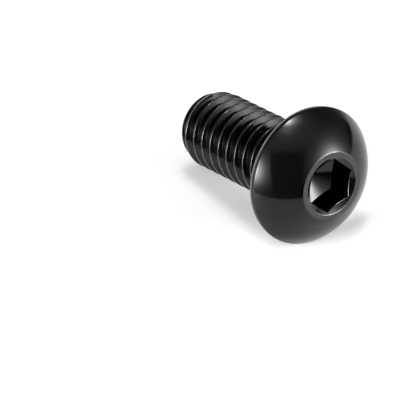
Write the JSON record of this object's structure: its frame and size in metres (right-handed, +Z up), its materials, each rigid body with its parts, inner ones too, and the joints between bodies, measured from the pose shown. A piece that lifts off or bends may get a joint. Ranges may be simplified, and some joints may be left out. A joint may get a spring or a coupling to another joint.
{
  "type": "button head socket screw",
  "caption": "Low domed button head screw with a hexagon socket and a coarse thread up to the head, lying on its side.",
  "frame": {"origin": "middle of the lying screw's outline, on the surface that it lies on", "axes": "+Z up; the screw's axis lies in the XZ plane, with the head towards +X and the point towards -X and lower"},
  "size_m": [0.0248, 0.0166, 0.0164],
  "materials": {
    "black_steel": "gloss"
  },
  "bodies": {
    "root": {"button_head_screw": "black_steel"}
  },
  "joints": []
}
